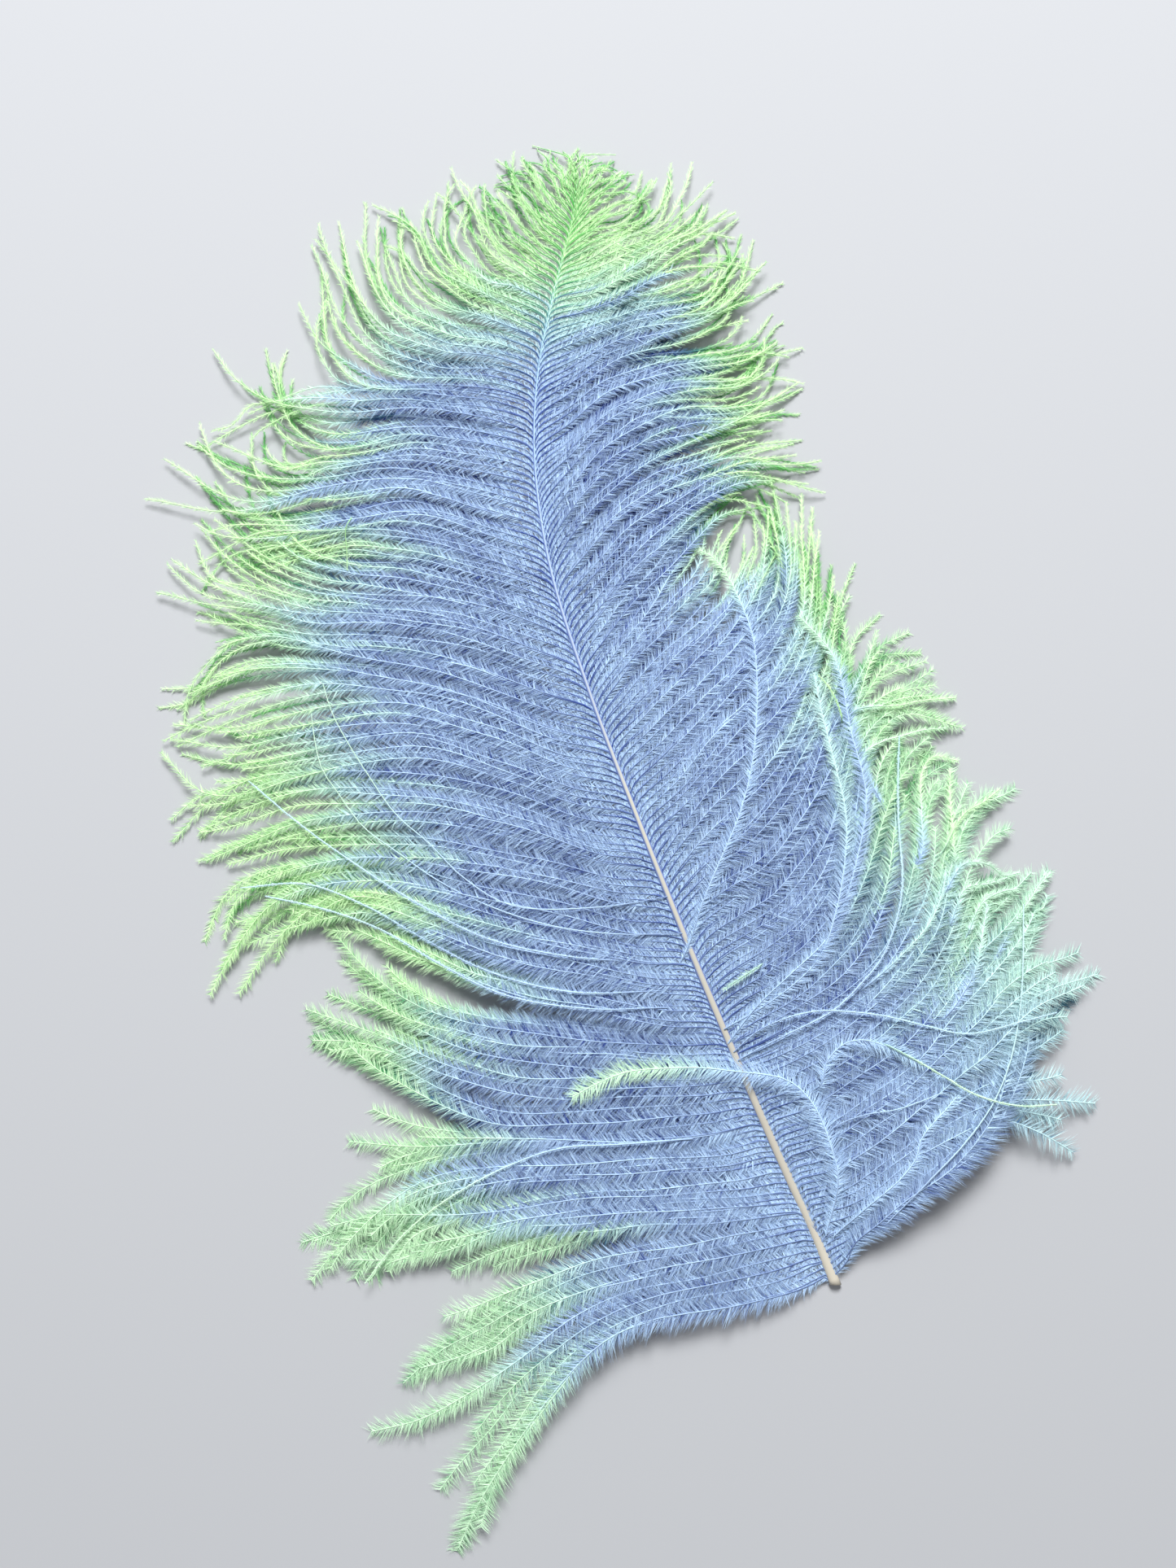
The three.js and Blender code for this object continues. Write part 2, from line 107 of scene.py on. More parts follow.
# The guides of each vane from the tip down: the picture row where a barb leaves the shaft, then the
# picture points that it passes on its way to its own tip.
LEFT_GUIDES = [
    (222, (711, 184)),
    (240, (702, 215), (704, 189)),
    (250, (697, 226), (683, 197)),
    (264, (693, 237), (676, 209), (662, 184)),
    (284, (682, 259), (660, 223), (640, 195)),
    (304, (672, 277), (645, 236), (612, 197)),
    (324, (664, 294), (640, 256), (613, 217)),
    (344, (657, 315), (620, 276), (603, 250), (590, 231)),
    (360, (650, 330), (612, 303), (590, 270), (567, 246)),
    (374, (645, 345), (606, 318), (580, 262), (555, 209)),
    (390, (640, 361), (592, 345), (563, 305), (570, 265), (587, 232)),
    (404, (634, 374), (580, 352), (545, 315), (533, 285), (535, 243)),
    (420, (628, 388), (570, 362), (530, 330), (515, 292), (485, 265), (459, 254)),
    (434, (624, 402), (560, 380), (515, 345), (495, 310), (490, 258)),
    (448, (620, 414), (552, 400), (495, 368), (478, 330), (471, 281)),
    (464, (615, 433), (545, 420), (485, 392), (458, 340), (447, 250)),
    (478, (613, 447), (540, 437), (470, 405), (435, 345), (415, 275)),
    (492, (611, 461), (535, 455), (468, 430), (425, 365), (393, 277)),
    (506, (610, 476), (530, 470), (460, 452), (415, 410), (404, 338)),
    (520, (608, 490), (525, 482), (450, 475), (405, 428), (397, 334)),
    (536, (606, 504), (505, 492), (405, 487), (340, 506), (254, 552)),
    (550, (605, 519), (505, 508), (410, 510), (340, 500), (300, 475), (264, 430)),
    (566, (604, 535), (505, 524), (410, 534), (355, 505), (333, 465), (325, 430)),
    (584, (603, 551), (504, 541), (410, 554), (362, 530), (345, 490), (337, 448)),
    (604, (604, 571), (503, 560), (420, 575), (360, 588), (328, 565), (327, 532)),
    (624, (606, 592), (503, 577), (400, 587), (340, 588), (290, 572), (229, 545)),
    (644, (608, 612), (504, 592), (400, 605), (320, 618), (270, 608), (204, 567)),
    (664, (611, 632), (505, 606), (400, 616), (338, 606), (312, 572), (309, 533)),
    (684, (613, 650), (512, 622), (420, 635), (340, 645), (280, 628), (243, 585)),
    (704, (618, 668), (525, 640), (440, 648), (380, 655), (320, 660), (245, 692)),
    (722, (622, 686), (540, 660), (475, 650), (400, 662), (340, 672), (280, 690), (248, 728)),
    (744, (628, 708), (560, 690), (495, 678), (445, 670), (400, 680), (320, 700), (288, 690)),
    (786, (640, 746), (565, 722), (500, 706), (440, 706), (377, 688), (343, 660), (314, 625), (299, 573)),
    (800, (643, 760), (560, 735), (465, 722), (400, 712), (340, 685), (290, 645), (257, 612)),
    (818, (648, 780), (560, 752), (462, 740), (390, 733), (330, 708), (280, 675), (247, 640)),
    (836, (652, 798), (562, 768), (460, 755), (390, 752), (325, 735), (262, 710), (243, 665)),
    (852, (656, 815), (563, 784), (460, 768), (380, 765), (320, 742), (262, 722), (213, 689)),
    (880, (663, 846), (572, 812), (472, 794), (390, 787), (320, 772), (243, 754)),
    (900, (670, 866), (580, 832), (480, 810), (400, 795), (330, 782), (280, 795), (237, 845), (229, 890)),
    (922, (676, 890), (592, 857), (490, 832), (400, 822), (320, 825), (265, 845), (228, 864), (196, 871)),
    (942, (682, 911), (600, 876), (498, 850), (400, 843), (330, 855), (270, 880), (204, 912)),
    (962, (690, 932), (607, 898), (505, 868), (420, 870), (350, 880), (290, 897), (215, 889)),
    (980, (697, 950), (614, 918), (512, 890), (425, 895), (350, 905), (285, 920), (214, 910)),
    (1000, (705, 972), (623, 942), (521, 912), (430, 918), (360, 932), (290, 942), (225, 925)),
    (1018, (711, 990), (631, 961), (530, 935), (440, 940), (365, 955), (300, 975), (250, 973), (199, 926)),
    (1038, (718, 1011), (641, 983), (543, 956), (445, 950), (370, 950), (310, 960), (260, 985),
     (212, 1033)),
    (1056, (726, 1030), (650, 1003), (550, 978), (450, 970), (375, 975), (320, 990), (247, 1022)),
    (1076, (735, 1051), (660, 1026), (560, 1004), (460, 995), (370, 1005), (310, 1030), (245, 1057)),
    (1108, (749, 1085), (674, 1064), (575, 1046), (475, 1036), (380, 1040), (282, 1063)),
    (1128, (757, 1105), (682, 1084), (583, 1064), (484, 1050), (390, 1055), (320, 1072), (280, 1100),
     (253, 1157)),
    (1148, (767, 1127), (692, 1106), (593, 1086), (493, 1066), (400, 1070), (308, 1095)),
    (1168, (776, 1147), (701, 1128), (602, 1108), (502, 1085), (410, 1085), (340, 1110), (300, 1155),
     (260, 1222)),
    (1188, (785, 1167), (710, 1150), (611, 1130), (511, 1103), (430, 1092), (380, 1120), (335, 1165),
     (296, 1221)),
    (1206, (793, 1186), (718, 1170), (620, 1150), (520, 1118), (430, 1102), (350, 1120), (290, 1135)),
    (1228, (802, 1208), (728, 1193), (629, 1174), (530, 1142), (450, 1120), (360, 1138), (302, 1163)),
    (1258, (815, 1238), (740, 1224), (640, 1205), (580, 1190), (525, 1168), (470, 1150), (400, 1140)),
    (1300, (834, 1283), (760, 1277), (670, 1268), (590, 1258), (530, 1240), (480, 1210), (440, 1175),
     (409, 1141)),
    (1322, (844, 1308), (768, 1302), (680, 1298), (600, 1288), (520, 1264), (455, 1240), (404, 1220)),
    (1344, (855, 1332), (780, 1332), (690, 1332), (620, 1326), (550, 1305), (480, 1272), (377, 1241)),
    (1368, (866, 1360), (790, 1365), (705, 1372), (620, 1368), (550, 1345), (480, 1305), (430, 1275),
     (385, 1248)),
    (1392, (878, 1388), (790, 1395), (700, 1398), (600, 1398), (510, 1405), (430, 1404)),
    (1408, (886, 1404), (798, 1408), (700, 1410), (620, 1413), (550, 1420), (490, 1437), (440, 1465),
     (407, 1500)),
    (1426, (895, 1422), (805, 1426), (705, 1431), (600, 1440), (520, 1455), (465, 1490), (420, 1530),
     (384, 1572)),
    (1446, (904, 1442), (813, 1446), (712, 1452), (620, 1462), (550, 1490), (500, 1520), (452, 1573)),
    (1464, (914, 1456), (822, 1460), (722, 1467), (620, 1484), (540, 1497), (460, 1503), (371, 1527)),
    (1484, (927, 1474), (838, 1478), (738, 1486), (645, 1498), (560, 1528), (480, 1545), (425, 1548)),
    (1500, (932, 1488), (845, 1492), (760, 1498), (700, 1506), (640, 1525), (556, 1562)),
    (1524, (945, 1517), (850, 1534), (770, 1548), (710, 1562), (650, 1590), (590, 1630), (540, 1660),
     (496, 1697)),
    (1536, (950, 1530), (860, 1548), (775, 1565), (700, 1590), (640, 1622), (600, 1655), (505, 1691)),
    (1548, (955, 1543), (866, 1562), (780, 1580), (700, 1614), (640, 1660), (580, 1705), (520, 1740),
     (457, 1757)),
    (1558, (962, 1560), (875, 1578), (790, 1598), (722, 1630), (655, 1685), (610, 1740), (570, 1790),
     (543, 1830)),
    (1568, (970, 1577), (900, 1592), (835, 1602), (774, 1618), (730, 1643), (680, 1695), (630, 1765),
     (590, 1835), (563, 1906)),
    (1576, (988, 1581), (905, 1598), (838, 1608), (778, 1623), (733, 1648), (682, 1699), (632, 1768),
     (592, 1838), (566, 1900)),
]
RIGHT_GUIDES = [
    (240, (716, 215), (722, 197)),
    (262, (722, 232), (737, 213), (755, 200)),
    (284, (722, 255), (750, 232), (779, 217)),
    (306, (722, 280), (755, 258), (783, 238), (788, 213)),
    (330, (725, 302), (762, 288), (784, 268), (786, 238)),
    (350, (722, 328), (770, 302), (818, 280), (838, 245), (848, 202)),
    (366, (728, 342), (785, 312), (840, 283), (864, 254)),
    (382, (728, 358), (785, 330), (845, 293), (903, 264)),
    (398, (728, 374), (785, 350), (845, 312), (907, 272)),
    (414, (728, 388), (785, 362), (838, 338), (885, 330), (933, 334)),
    (434, (722, 402), (775, 382), (825, 372), (864, 356), (881, 325), (880, 287)),
    (456, (715, 420), (765, 400), (820, 388), (870, 372), (897, 330), (912, 290)),
    (478, (706, 444), (755, 418), (812, 402), (868, 388), (905, 355), (927, 297)),
    (504, (703, 468), (752, 440), (808, 420), (862, 402), (905, 378), (962, 350)),
    (536, (700, 497), (750, 465), (803, 448), (858, 442), (905, 430), (930, 412), (950, 388)),
    (590, (700, 545), (750, 503), (800, 478), (850, 465), (900, 452), (940, 440), (985, 427)),
    (620, (700, 568), (742, 530), (790, 500), (850, 488), (905, 480), (932, 455), (938, 418)),
    (650, (700, 590), (733, 555), (778, 521), (835, 507), (895, 503), (938, 485), (957, 448)),
    (678, (702, 615), (740, 572), (785, 540), (840, 520), (900, 514), (950, 495), (985, 478)),
    (704, (706, 640), (746, 596), (792, 565), (848, 547), (905, 530), (950, 512), (982, 508)),
    (728, (714, 664), (756, 620), (802, 590), (858, 570), (912, 550), (985, 543)),
    (752, (722, 692), (762, 648), (806, 615), (860, 590), (915, 570), (1003, 573)),
    (782, (730, 728), (768, 685), (810, 648), (860, 612), (915, 590), (1013, 605)),
    (820, (738, 768), (775, 722), (815, 682), (850, 645), (885, 615), (930, 600), (955, 590)),
    (860, (740, 825), (762, 797), (788, 763), (818, 718), (840, 690), (862, 650), (890, 622), (905, 612)),
    (886, (757, 842), (797, 795), (837, 755), (870, 718), (892, 675), (915, 625)),
    (918, (775, 872), (817, 828), (864, 782), (905, 732), (925, 680), (928, 630)),
    (950, (800, 890), (850, 840), (900, 790), (935, 730), (945, 660), (930, 608)),
    (985, (815, 925), (865, 870), (915, 815), (955, 755), (965, 700), (943, 585)),
    (1022, (830, 960), (880, 900), (935, 845), (975, 780), (985, 710), (982, 608)),
    (1045, (840, 985), (895, 925), (950, 865), (990, 790), (1000, 720), (997, 640)),
    (1070, (825, 1030), (870, 970), (930, 910), (975, 850), (1005, 780), (1003, 680)),
    (1090, (828, 1060), (865, 1015), (910, 970), (955, 915), (990, 850), (1010, 790), (1020, 695)),
    (1122, (843, 1095), (875, 1060), (915, 1030), (955, 985), (985, 930), (1020, 860), (1037, 790),
     (1017, 722)),
    (1146, (850, 1120), (890, 1085), (930, 1060), (960, 1025), (985, 985), (1010, 930), (1035, 860),
     (1045, 790), (1080, 755)),
    (1172, (862, 1140), (905, 1110), (941, 1089), (968, 1058), (990, 1028), (1012, 970), (1045, 860),
     (1075, 812), (1131, 803)),
    (1198, (880, 1165), (925, 1135), (962, 1110), (990, 1075), (1012, 1030), (1030, 960), (1055, 885),
     (1105, 860), (1172, 860)),
    (1226, (893, 1195), (940, 1165), (980, 1135), (1010, 1095), (1035, 1045), (1048, 985), (1065, 915),
     (1105, 877), (1180, 896)),
    (1254, (905, 1225), (950, 1195), (990, 1165), (1025, 1120), (1052, 1060), (1066, 1000), (1082, 935),
     (1110, 905), (1160, 896)),
    (1280, (920, 1250), (965, 1222), (1010, 1185), (1045, 1145), (1075, 1090), (1092, 1030), (1100, 960),
     (1104, 908)),
    (1300, (930, 1275), (985, 1240), (1035, 1205), (1075, 1160), (1105, 1100), (1118, 1030), (1128, 965),
     (1172, 935)),
    (1322, (945, 1298), (1000, 1268), (1055, 1228), (1103, 1180), (1140, 1120), (1158, 1050), (1163, 990),
     (1168, 945)),
    (1345, (960, 1318), (1015, 1285), (1070, 1245), (1120, 1195), (1155, 1130), (1170, 1060), (1200, 1000),
     (1248, 971)),
    (1368, (975, 1335), (1035, 1300), (1090, 1258), (1140, 1205), (1175, 1140), (1198, 1090), (1245, 1075)),
    (1392, (988, 1358), (1050, 1318), (1105, 1275), (1155, 1220), (1195, 1170), (1240, 1125), (1288, 1070)),
    (1414, (1000, 1378), (1062, 1338), (1120, 1292), (1170, 1240), (1215, 1195), (1260, 1150),
     (1286, 1100)),
    (1436, (1010, 1400), (1075, 1355), (1135, 1308), (1185, 1258), (1245, 1200), (1322, 1168)),
    (1458, (1020, 1425), (1085, 1378), (1145, 1330), (1200, 1278), (1265, 1225), (1348, 1197)),
    (1480, (1030, 1448), (1095, 1400), (1155, 1350), (1215, 1305), (1270, 1265), (1318, 1222)),
    (1500, (1040, 1465), (1100, 1420), (1160, 1372), (1215, 1348), (1280, 1350), (1343, 1355)),
    (1520, (1045, 1485), (1098, 1440), (1150, 1400), (1195, 1370), (1232, 1335), (1250, 1300)),
    (1545, (1042, 1515), (1078, 1488), (1125, 1450), (1172, 1412), (1207, 1372), (1232, 1320), (1250, 1258),
     (1257, 1185)),
    (1572, (1037, 1548), (1048, 1522), (1080, 1494), (1127, 1455), (1174, 1416), (1209, 1376), (1234, 1325),
     (1250, 1270)),
]

# Each single barb that lies over the rest: how far it lies above the others in millimetres, how bare it
# is, its most dye, the length of its dyed end in metres, and its picture points.
STRAYS = [
    (2.4, 0.0, 0.75, 0.024, ((1013, 1515), (1017, 1497), (1022, 1478), (1026, 1446), (1023, 1423),
     (1016, 1400), (1008, 1377), (1000, 1359), (983, 1336), (965, 1323), (944, 1317), (905, 1313),
     (880, 1310), (860, 1308), (820, 1308), (770, 1312), (735, 1325), (704, 1342))),
    (2.6, 1.0, 0.7, 0.030, ((838, 1145), (760, 1145), (680, 1135), (600, 1110), (540, 1080), (490, 1045),
     (450, 1015), (420, 975), (400, 945), (392, 915), (387, 878))),
    (2.6, 1.0, 0.7, 0.030, ((820, 1100), (740, 1112), (630, 1110), (570, 1075), (530, 1035), (490, 1000),
     (455, 950), (430, 910), (412, 875), (402, 842))),
    (2.2, 0.9, 0.3, 0.030, ((790, 1180), (700, 1172), (600, 1150), (520, 1110), (440, 1060), (370, 1010),
     (310, 960))),
    (2.2, 0.9, 0.3, 0.030, ((812, 1215), (700, 1215), (600, 1190), (520, 1150), (450, 1110), (380, 1085),
     (300, 1090))),
    (2.2, 0.9, 0.3, 0.030, ((820, 1235), (720, 1235), (620, 1218), (540, 1180), (470, 1140), (400, 1115),
     (330, 1100))),
    (2.2, 0.9, 0.8, 0.030, ((850, 1395), (760, 1400), (690, 1405), (630, 1425), (560, 1462), (500, 1510),
     (451, 1572))),
    (1.6, 1.0, 1.0, 0.060, ((436, 640), (429, 655), (430, 680), (431, 705))),
    (2.0, 0.2, 0.8, 0.012, ((835, 1180), (845, 1160), (860, 1110), (880, 1060), (905, 1000), (920, 940),
     (926, 870), (925, 820), (922, 790), (915, 765), (905, 740), (893, 715), (875, 690), (857, 680))),
    (2.0, 0.3, 0.7, 0.012, ((893, 1280), (930, 1230), (970, 1190), (1010, 1150), (1030, 1110), (1045, 1060),
     (1058, 980), (1040, 900), (1020, 810), (977, 760))),
    (2.0, 0.2, 0.45, 0.030, ((888, 1262), (940, 1230), (1000, 1175), (1020, 1120), (1032, 1050),
     (1033, 1000), (1015, 920), (1005, 880), (995, 830))),
    (3.6, 0.7, 1.0, 0.040, ((1030, 892), (1025, 872), (1015, 850), (1000, 832))),
    (2.4, 0.9, 0.3, 0.030, ((905, 1300), (960, 1268), (1020, 1235), (1050, 1205), (1075, 1175),
     (1090, 1140), (1098, 1110), (1102, 1080), (1100, 1040), (1098, 990), (1100, 905))),
    (2.6, 0.9, 0.2, 0.030, ((900, 1290), (930, 1262), (960, 1247), (1000, 1237), (1040, 1238), (1080, 1243),
     (1130, 1255), (1180, 1265), (1250, 1250), (1290, 1240))),
    (2.0, 0.6, 0.5, 0.020, ((1050, 1215), (1100, 1170), (1135, 1130), (1150, 1095), (1155, 1070))),
    (2.0, 0.3, 0.6, 0.012, ((1150, 1250), (1170, 1225), (1190, 1190), (1197, 1160), (1203, 1130),
     (1207, 1110))),
    (2.4, 0.0, 0.1, 0.010, ((980, 1345), (1005, 1325), (1010, 1300), (1030, 1278), (1050, 1272),
     (1070, 1275), (1100, 1288), (1125, 1302))),
    (3.0, 0.9, 0.75, 0.040, ((1050, 1272), (1072, 1274), (1110, 1292), (1150, 1315), (1190, 1338),
     (1245, 1352), (1290, 1352))),
    (2.2, 1.0, 0.35, 0.040, ((1085, 1495), (1130, 1445), (1180, 1392), (1210, 1350), (1232, 1300),
     (1245, 1240), (1250, 1180), (1252, 1110))),
    (1.2, 0.5, 0.1, 0.010, ((1022, 1516), (1042, 1495), (1065, 1472), (1100, 1440), (1118, 1415),
     (1125, 1390), (1160, 1350), (1180, 1330))),
    (1.8, 1.0, 0.1, 0.010, ((1010, 1388), (1030, 1373), (1060, 1362), (1100, 1355), (1150, 1335))),
    (2.2, 0.6, 0.6, 0.040, ((935, 1180), (905, 1200), (887, 1213))),
    (1.6, 0.3, 0.9, 0.020, ((1090, 1100), (1125, 1050), (1127, 1000), (1130, 950), (1145, 930),
     (1175, 935))),
    (1.6, 0.3, 0.9, 0.020, ((1140, 1130), (1165, 1100), (1165, 1020), (1163, 980), (1165, 945))),
    (1.6, 0.3, 0.8, 0.020, ((1085, 1000), (1055, 930), (1080, 912), (1105, 905), (1130, 898), (1160, 895))),
    (1.6, 0.3, 0.9, 0.020, ((1030, 900), (1045, 875), (1100, 868), (1130, 862), (1172, 858))),
    (1.6, 0.3, 0.7, 0.015, ((1155, 1150), (1180, 1090), (1210, 1085), (1235, 1078))),
    (1.6, 0.3, 0.7, 0.015, ((1180, 1150), (1200, 1110), (1225, 1095), (1245, 1092))),
    (1.6, 0.3, 0.7, 0.015, ((1215, 1180), (1240, 1135), (1260, 1105), (1275, 1085), (1288, 1072))),
    (1.6, 0.3, 0.9, 0.020, ((1150, 1050), (1180, 1000), (1205, 985), (1225, 970))),
    (1.6, 0.3, 0.7, 0.015, ((1150, 1100), (1180, 1060), (1210, 1062), (1230, 1075), (1250, 1072))),
]

ALONG = np.array((TIP_PX[0] - QUILL_PX[0], QUILL_PX[1] - TIP_PX[1]), float)
ALONG /= np.linalg.norm(ALONG)
SMALLEST = 1e-12

# Steps between two points of a curve, places along the shaft, and how many of them apart its rings are
CURVE_STEPS = 16
SHAFT_SAMPLES = 400
SHAFT_STRIDE = 2


def place(pixels):
    """Picture points, as columns and rows, as plan points of the feather."""
    offset = (np.asarray(pixels, float) - QUILL_PX) * (M_PER_PX, -M_PER_PX)
    x = offset[..., 0] * ALONG[1] - offset[..., 1] * ALONG[0]
    y = offset[..., 0] * ALONG[0] + offset[..., 1] * ALONG[1]
    return np.stack((x, y), -1) + ORIGIN.xy


def smoothstep(low, high, value):
    share = np.clip((value - low) / (high - low), 0, 1)
    return share * share * (3 - 2 * share)


def unit(vectors):
    return vectors / np.maximum(np.linalg.norm(vectors, axis=-1, keepdims=True), SMALLEST)


def look_up(value, table):
    """Values between those that a table of pairs gives, the lowest first."""
    return np.interp(value, *zip(*table))


def curve_through(points, count):
    """A centripetal Catmull-Rom curve through points, as count places at even steps of its length."""
    points = np.asarray(points, float)
    points = np.vstack((2 * points[0] - points[1], points, 2 * points[-1] - points[-2]))
    fine = []
    for a, b, c, d in zip(points, points[1:], points[2:], points[3:]):
        knots = np.cumsum([0] + [math.sqrt(np.linalg.norm(q - p)) for p, q in ((a, b), (b, c), (c, d))])
        t = np.linspace(knots[1], knots[2], CURVE_STEPS, endpoint=False)[:, None]

        def mix(p, q, low, high):
            return ((high - t) * p + (t - low) * q) / (high - low)

        first = mix(a, b, knots[0], knots[1])
        second = mix(b, c, knots[1], knots[2])
        third = mix(c, d, knots[2], knots[3])
        fine.append(mix(mix(first, second, knots[0], knots[2]), mix(second, third, knots[1], knots[3]),
                        knots[1], knots[2]))
    fine = np.vstack((*fine, points[-2]))
    reach = np.concatenate(([0], np.cumsum(np.linalg.norm(np.diff(fine, axis=0), axis=1))))
    even = np.linspace(0, reach[-1], count)
    return np.stack([np.interp(even, reach, axis) for axis in fine.T], -1)


class Shaft:
    """The shaft's centre line, height and width, looked up by picture row."""

    def __init__(self, rows):
        table = np.array(rows, float)
        plan = place(table[:, [1, 0]])
        fine = curve_through(np.column_stack((plan, table / (1, 1, MM_PER_M, MM_PER_M))), SHAFT_SAMPLES)
        self.points = fine[:, [0, 1, 4]]
        self.half = fine[:, 5]
        self.rows = fine[:, 2]
        self.tangents = unit(np.gradient(self.points, axis=0))

    def at(self, rows, values):
        return np.stack([np.interp(-np.asarray(rows, float), -self.rows, v) for v in values.T], -1)

    def point(self, rows):
        return self.at(rows, self.points)

    def tangent(self, rows):
        return unit(self.at(rows, self.tangents))


# How a barb leaves the shaft and arches over the surface, in metres
LEAVE_ANGLE = math.radians(14)
LEAVE_REACH = 0.0046
LEAVE_SHARE = 0.25
TIP_HEIGHT = 0.0011
DROOP = 1.5
ARCH = {LEFT: 0.0065, RIGHT: 0.0105}
ARCH_LOST_TO_TIP = 0.6
FLOOR_GAP = 0.0003

# Layers of barbs: the height of a layer and where along a barb it parts from the others, in metres
LAYERS = (-1.0, 0.0, 1.0)
LAYER_SHARES = (0.30, 0.25, 0.45)
LAYER_VARIES = 0.3
LAYER_DEPTH = 0.0013
LAYER_FROM = (0.004, 0.022)

# How barbs gather into locks: the least and most gathering, the gap between two guides and the share of
# the barb over which it grows, and the width of a lock
GATHER = 0.25
MOST_GATHER = 0.85
GATHER_GAP = (0.0080, 0.019)
GATHER_FROM = (0.12, 0.35)
LOCK_SPREAD = 0.0046
LOCK_NARROWS = 0.3

# How single barbs stray from their lock: sideways sweeps in metres, how late along the barb they grow and
# their limit in standard deviations, the length of a barb beside its guide's, and its waves
FAN = 0.0055
FAN_LATE = 3
CURL = 0.0065
CURL_FROM = 0.62
CURL_LATE = 2.5
MOST_SWEEP = 1.7
SHORTEST = 0.80
LONGEST = 0.99
WOBBLE = 0.0005
WOBBLE_FROM = (0.1, 0.4)
WAVES = (1.5, 3.5)

# Barbules by root row: their length in metres, the share of it left on the thin ends, their angle there in
# degrees, and how much wider than elsewhere they stand on the rest of the barb
BARBULE_LENGTH = ((200, 0.0028), (350, 0.0034), (600, 0.0038), (900, 0.0043), (1200, 0.0054), (1560, 0.0064))
END_SHARE = {LEFT: ((200, 0.62), (600, 0.52), (900, 0.54), (1150, 0.66), (1560, 0.92)),
             RIGHT: ((200, 0.62), (600, 0.50), (860, 0.36), (1080, 0.40), (1200, 0.66), (1560, 0.92))}
END_LEAN = ((200, 25), (900, 28), (1200, 40), (1560, 50))
WIDER = ((200, 0.9), (900, 1.0), (1250, 1.15), (1560, 1.3))

# The dye by root row: the length of a barb's lime end and of the fade to it in metres, and the most dye
LIME_END = {LEFT: ((200, 0.020), (600, 0.027), (900, 0.022), (1080, 0.030), (1180, 0.040), (1320, 0.020),
                   (1400, 0.032), (1560, 0.040)),
            RIGHT: ((200, 0.022), (500, 0.022), (760, 0.018), (850, 0.009), (960, 0.010), (1030, 0.022),
                    (1090, 0.018), (1120, 0.018), (1250, 0.018), (1400, 0.013), (1480, 0.004), (1560, 0.001))}
FADE = {LEFT: ((200, 0.030), (600, 0.044), (900, 0.056), (1150, 0.062), (1320, 0.050), (1400, 0.044),
               (1560, 0.048)),
        RIGHT: ((200, 0.030), (500, 0.032), (900, 0.036), (1120, 0.050), (1300, 0.068), (1560, 0.065))}
MOST_DYE = {LEFT: ((200, 1.0), (1200, 1.0), (1400, 0.86), (1560, 0.80)),
            RIGHT: ((200, 1.0), (1060, 1.0), (1130, 0.92), (1250, 0.88), (1350, 0.78), (1430, 0.6),
                    (1500, 0.4), (1560, 0.3))}
DYE_VARIES = (0.75, 1.2)

# How far along the feather its whole tip turns lime, in metres, and how much a barb's shortness moves its dye
TIP_DYE = (0.300, 0.346)
TIP_DYE_VARIES = 0.004
DYE_BY_PLACE = 0.75


class Guides:
    """One vane's guide curves, sampled evenly and ordered by the row of their roots."""

    def __init__(self, guides, side, shaft):
        self.side = side
        self.rows = np.array([guide[0] for guide in guides], float)
        self.curves = np.array([self.curve(guide, shaft) for guide in guides])

    def curve(self, guide, shaft):
        row, *points = guide
        root = shaft.point(row)[:2]
        along = shaft.tangent(row)[:2]
        turn = -self.side * LEAVE_ANGLE
        leave = np.array((along[0] * math.cos(turn) - along[1] * math.sin(turn),
                          along[0] * math.sin(turn) + along[1] * math.cos(turn)))
        points = place(points)
        reach = min(LEAVE_REACH, LEAVE_SHARE * np.linalg.norm(points[0] - root))
        return curve_through(np.vstack((root, root + leave * reach, points)), 4 * SAMPLES)


def sample(table, barb, share):
    """The values of a table (barbs, samples, ...) at a share of each chosen barb's length."""
    at = np.clip(share, 0, 1) * (table.shape[1] - 1)
    low = np.minimum(at.astype(int), table.shape[1] - 2)
    rest = (at - low).reshape(at.shape + (1,) * (table.ndim - 2))
    return table[barb, low] * (1 - rest) + table[barb, low + 1] * rest


def reaches(paths):
    """The length of each barb from its root to each of its samples."""
    steps = np.linalg.norm(np.diff(paths, axis=1), axis=2)
    return np.concatenate((np.zeros((len(paths), 1)), np.cumsum(steps, 1)), 1)


def height(t, root_height, arch):
    """The height of a barb above the surface, a share t of the way to its tip."""
    return TIP_HEIGHT + (root_height - TIP_HEIGHT) * (1 - t) ** DROOP + arch * 4 * t * (1 - t)


